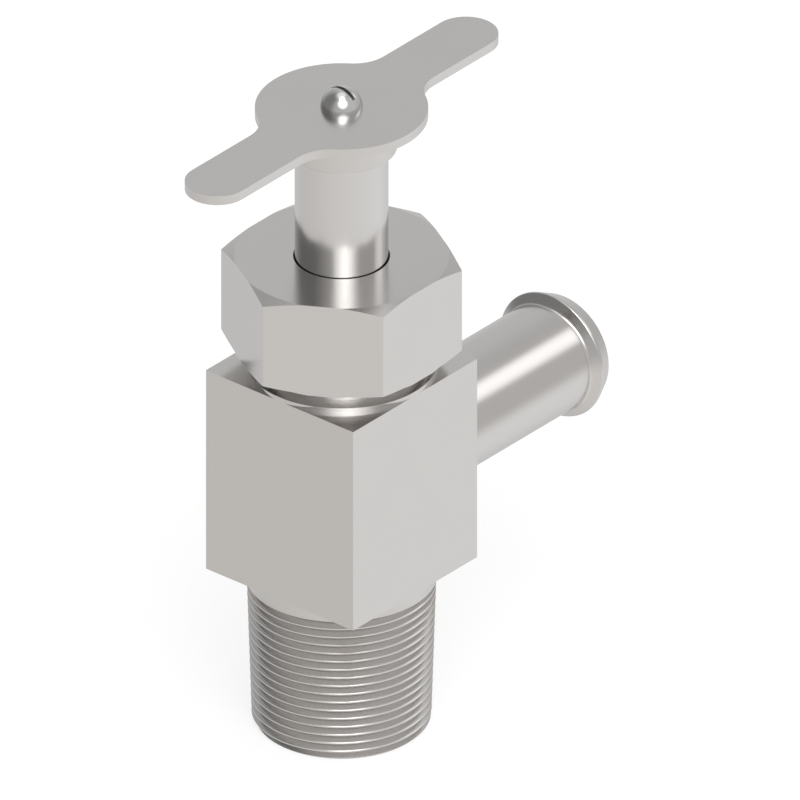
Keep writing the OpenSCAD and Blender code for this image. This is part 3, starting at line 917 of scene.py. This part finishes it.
def build_glow(tree):
    """Pale table, screens with a dark gap, and soft lamps."""
    direction = tree.nodes.new("NodeGroupInput").outputs[0]
    side = along_direction(tree, direction, to_right)
    front = along_direction(tree, direction, to_camera)
    height = along_direction(tree, direction, (0, 0, 1))
    around = sums(tree, "ADD", sums(tree, "DIVIDE", sums(tree, "ARCTAN2", side, front), 2 * math.pi), 0.5)
    table = levels_round(tree, around, TABLE_LEVELS)
    screens = levels_round(tree, around, SCREEN_LEVELS)
    room = mixed(tree, spread_over(tree, height, *HORIZON_HEIGHTS, 0.0, 1.0), table, screens)
    room = mixed(tree, spread_over(tree, height, *CEILING_HEIGHTS, 0.0, 1.0), room, CEILING)
    lit = 0.0
    for from_camera, elevation, inner, outer, strength in LAMPS:
        facing = along_direction(tree, direction, lamp_axis(from_camera, elevation))
        edges = math.cos(math.radians(outer)), math.cos(math.radians(inner))
        lit = sums(tree, "ADD", lit, spread_over(tree, facing, *edges, 0.0, strength))
    total = tree.nodes.new("ShaderNodeVectorMath")
    total.operation = "ADD"
    tree.links.new(room, total.inputs[0])
    tree.links.new(lit, total.inputs[1])
    tree.links.new(total.outputs[0], tree.nodes.new("NodeGroupOutput").inputs[0])


glow = bpy.data.node_groups.new("studio_glow", "ShaderNodeTree")
glow.interface.new_socket("Direction", in_out="INPUT", socket_type="NodeSocketVector")
glow.interface.new_socket("Light", in_out="OUTPUT", socket_type="NodeSocketColor")
build_glow(glow)
print("studio rule:", len(glow.nodes), "nodes")

# %% [markdown]
# The world shows this room to light and to mirrored rays. The camera itself sees plain white there, as
# in a product photograph.

# %% World
WHITE = (1, 1, 1, 1)
world = bpy.data.worlds.new("studio")
bpy.context.scene.world = world
world.use_nodes = True
nodes, links = world.node_tree.nodes, world.node_tree.links
nodes.clear()
room = nodes.new("ShaderNodeGroup")
room.node_tree = glow
links.new(nodes.new("ShaderNodeTexCoord").outputs["Generated"], room.inputs["Direction"])
rays = nodes.new("ShaderNodeLightPath")
sky = nodes.new("ShaderNodeBackground")
links.new(mixed(world.node_tree, rays.outputs["Is Camera Ray"], room.outputs["Light"], WHITE),
          sky.inputs["Color"])
links.new(sky.outputs[0], nodes.new("ShaderNodeOutputWorld").inputs["Surface"])
print("world:", world.name)

# %% [markdown]
# The floor is a plain pale disc. Part of its white comes from the light that falls on it, so the valve
# still throws a faint shadow there. The rest is its own glow for the camera. Rays that bounce off metal
# pass through it to the room's table, so that metal shows the same table at every height. The disc is
# wide enough that its rim is never in the picture.

# %% Floor
FLOOR_RADIUS = 900
FLOOR_DEPTH = 5
FLOOR_SHARE = 0.26
GLOW_FOR_CAMERA = 0.765
floor_outline = [(0, -FLOOR_DEPTH), (FLOOR_RADIUS, -FLOOR_DEPTH), (FLOOR_RADIUS, 0), (0, 0)]
floor = turned("floor", eased(floor_outline))
floor_paint = bpy.data.materials.new("floor_paint")
floor_paint.use_nodes = True
nodes, links = floor_paint.node_tree.nodes, floor_paint.node_tree.links
nodes.clear()
matt = nodes.new("ShaderNodeBsdfDiffuse")
matt.inputs["Color"].default_value = (FLOOR_SHARE, FLOOR_SHARE, FLOOR_SHARE, 1)
rays = nodes.new("ShaderNodeLightPath")
own_light = nodes.new("ShaderNodeEmission")
links.new(sums(floor_paint.node_tree, "MULTIPLY", rays.outputs["Is Camera Ray"], GLOW_FOR_CAMERA),
          own_light.inputs["Strength"])
both = nodes.new("ShaderNodeAddShader")
links.new(matt.outputs[0], both.inputs[0])
links.new(own_light.outputs[0], both.inputs[1])
opened = nodes.new("ShaderNodeMixShader")
links.new(rays.outputs["Is Glossy Ray"], opened.inputs["Fac"])
links.new(both.outputs[0], opened.inputs[1])
links.new(nodes.new("ShaderNodeBsdfTransparent").outputs[0], opened.inputs[2])
links.new(opened.outputs[0], nodes.new("ShaderNodeOutputMaterial").inputs["Surface"])
floor.data.materials.append(floor_paint)
print("floor radius in mm:", FLOOR_RADIUS)

# %% [markdown]
# The camera
#
# The photograph has no perspective: edges that run away from the camera stay parallel. An orthographic
# camera does the same. It looks down at 30 degrees, with the outlet to its back right.

# %% Camera
MM_PER_PIXEL = 0.2304
IMAGE_SIZE = 800
CAMERA_DISTANCE = 600
aim_right, aim_up = 13.464, 72.80
back = math.cos(tilt) * to_camera + Vector((0, 0, math.sin(tilt)))
up = back.cross(to_right)
camera = bpy.data.objects.new("camera", bpy.data.cameras.new("camera"))
camera.data.type = "ORTHO"
camera.data.ortho_scale = MM_PER_PIXEL * IMAGE_SIZE * MM
camera.location = (aim_right * to_right + aim_up * up + CAMERA_DISTANCE * back) * MM
camera.rotation_euler = back.to_track_quat("Z", "Y").to_euler()
bpy.context.scene.collection.objects.link(camera)
bpy.context.scene.camera = camera
bpy.context.scene.view_settings.view_transform = "Standard"
print("picture width in mm:", round(MM_PER_PIXEL * IMAGE_SIZE, 1))
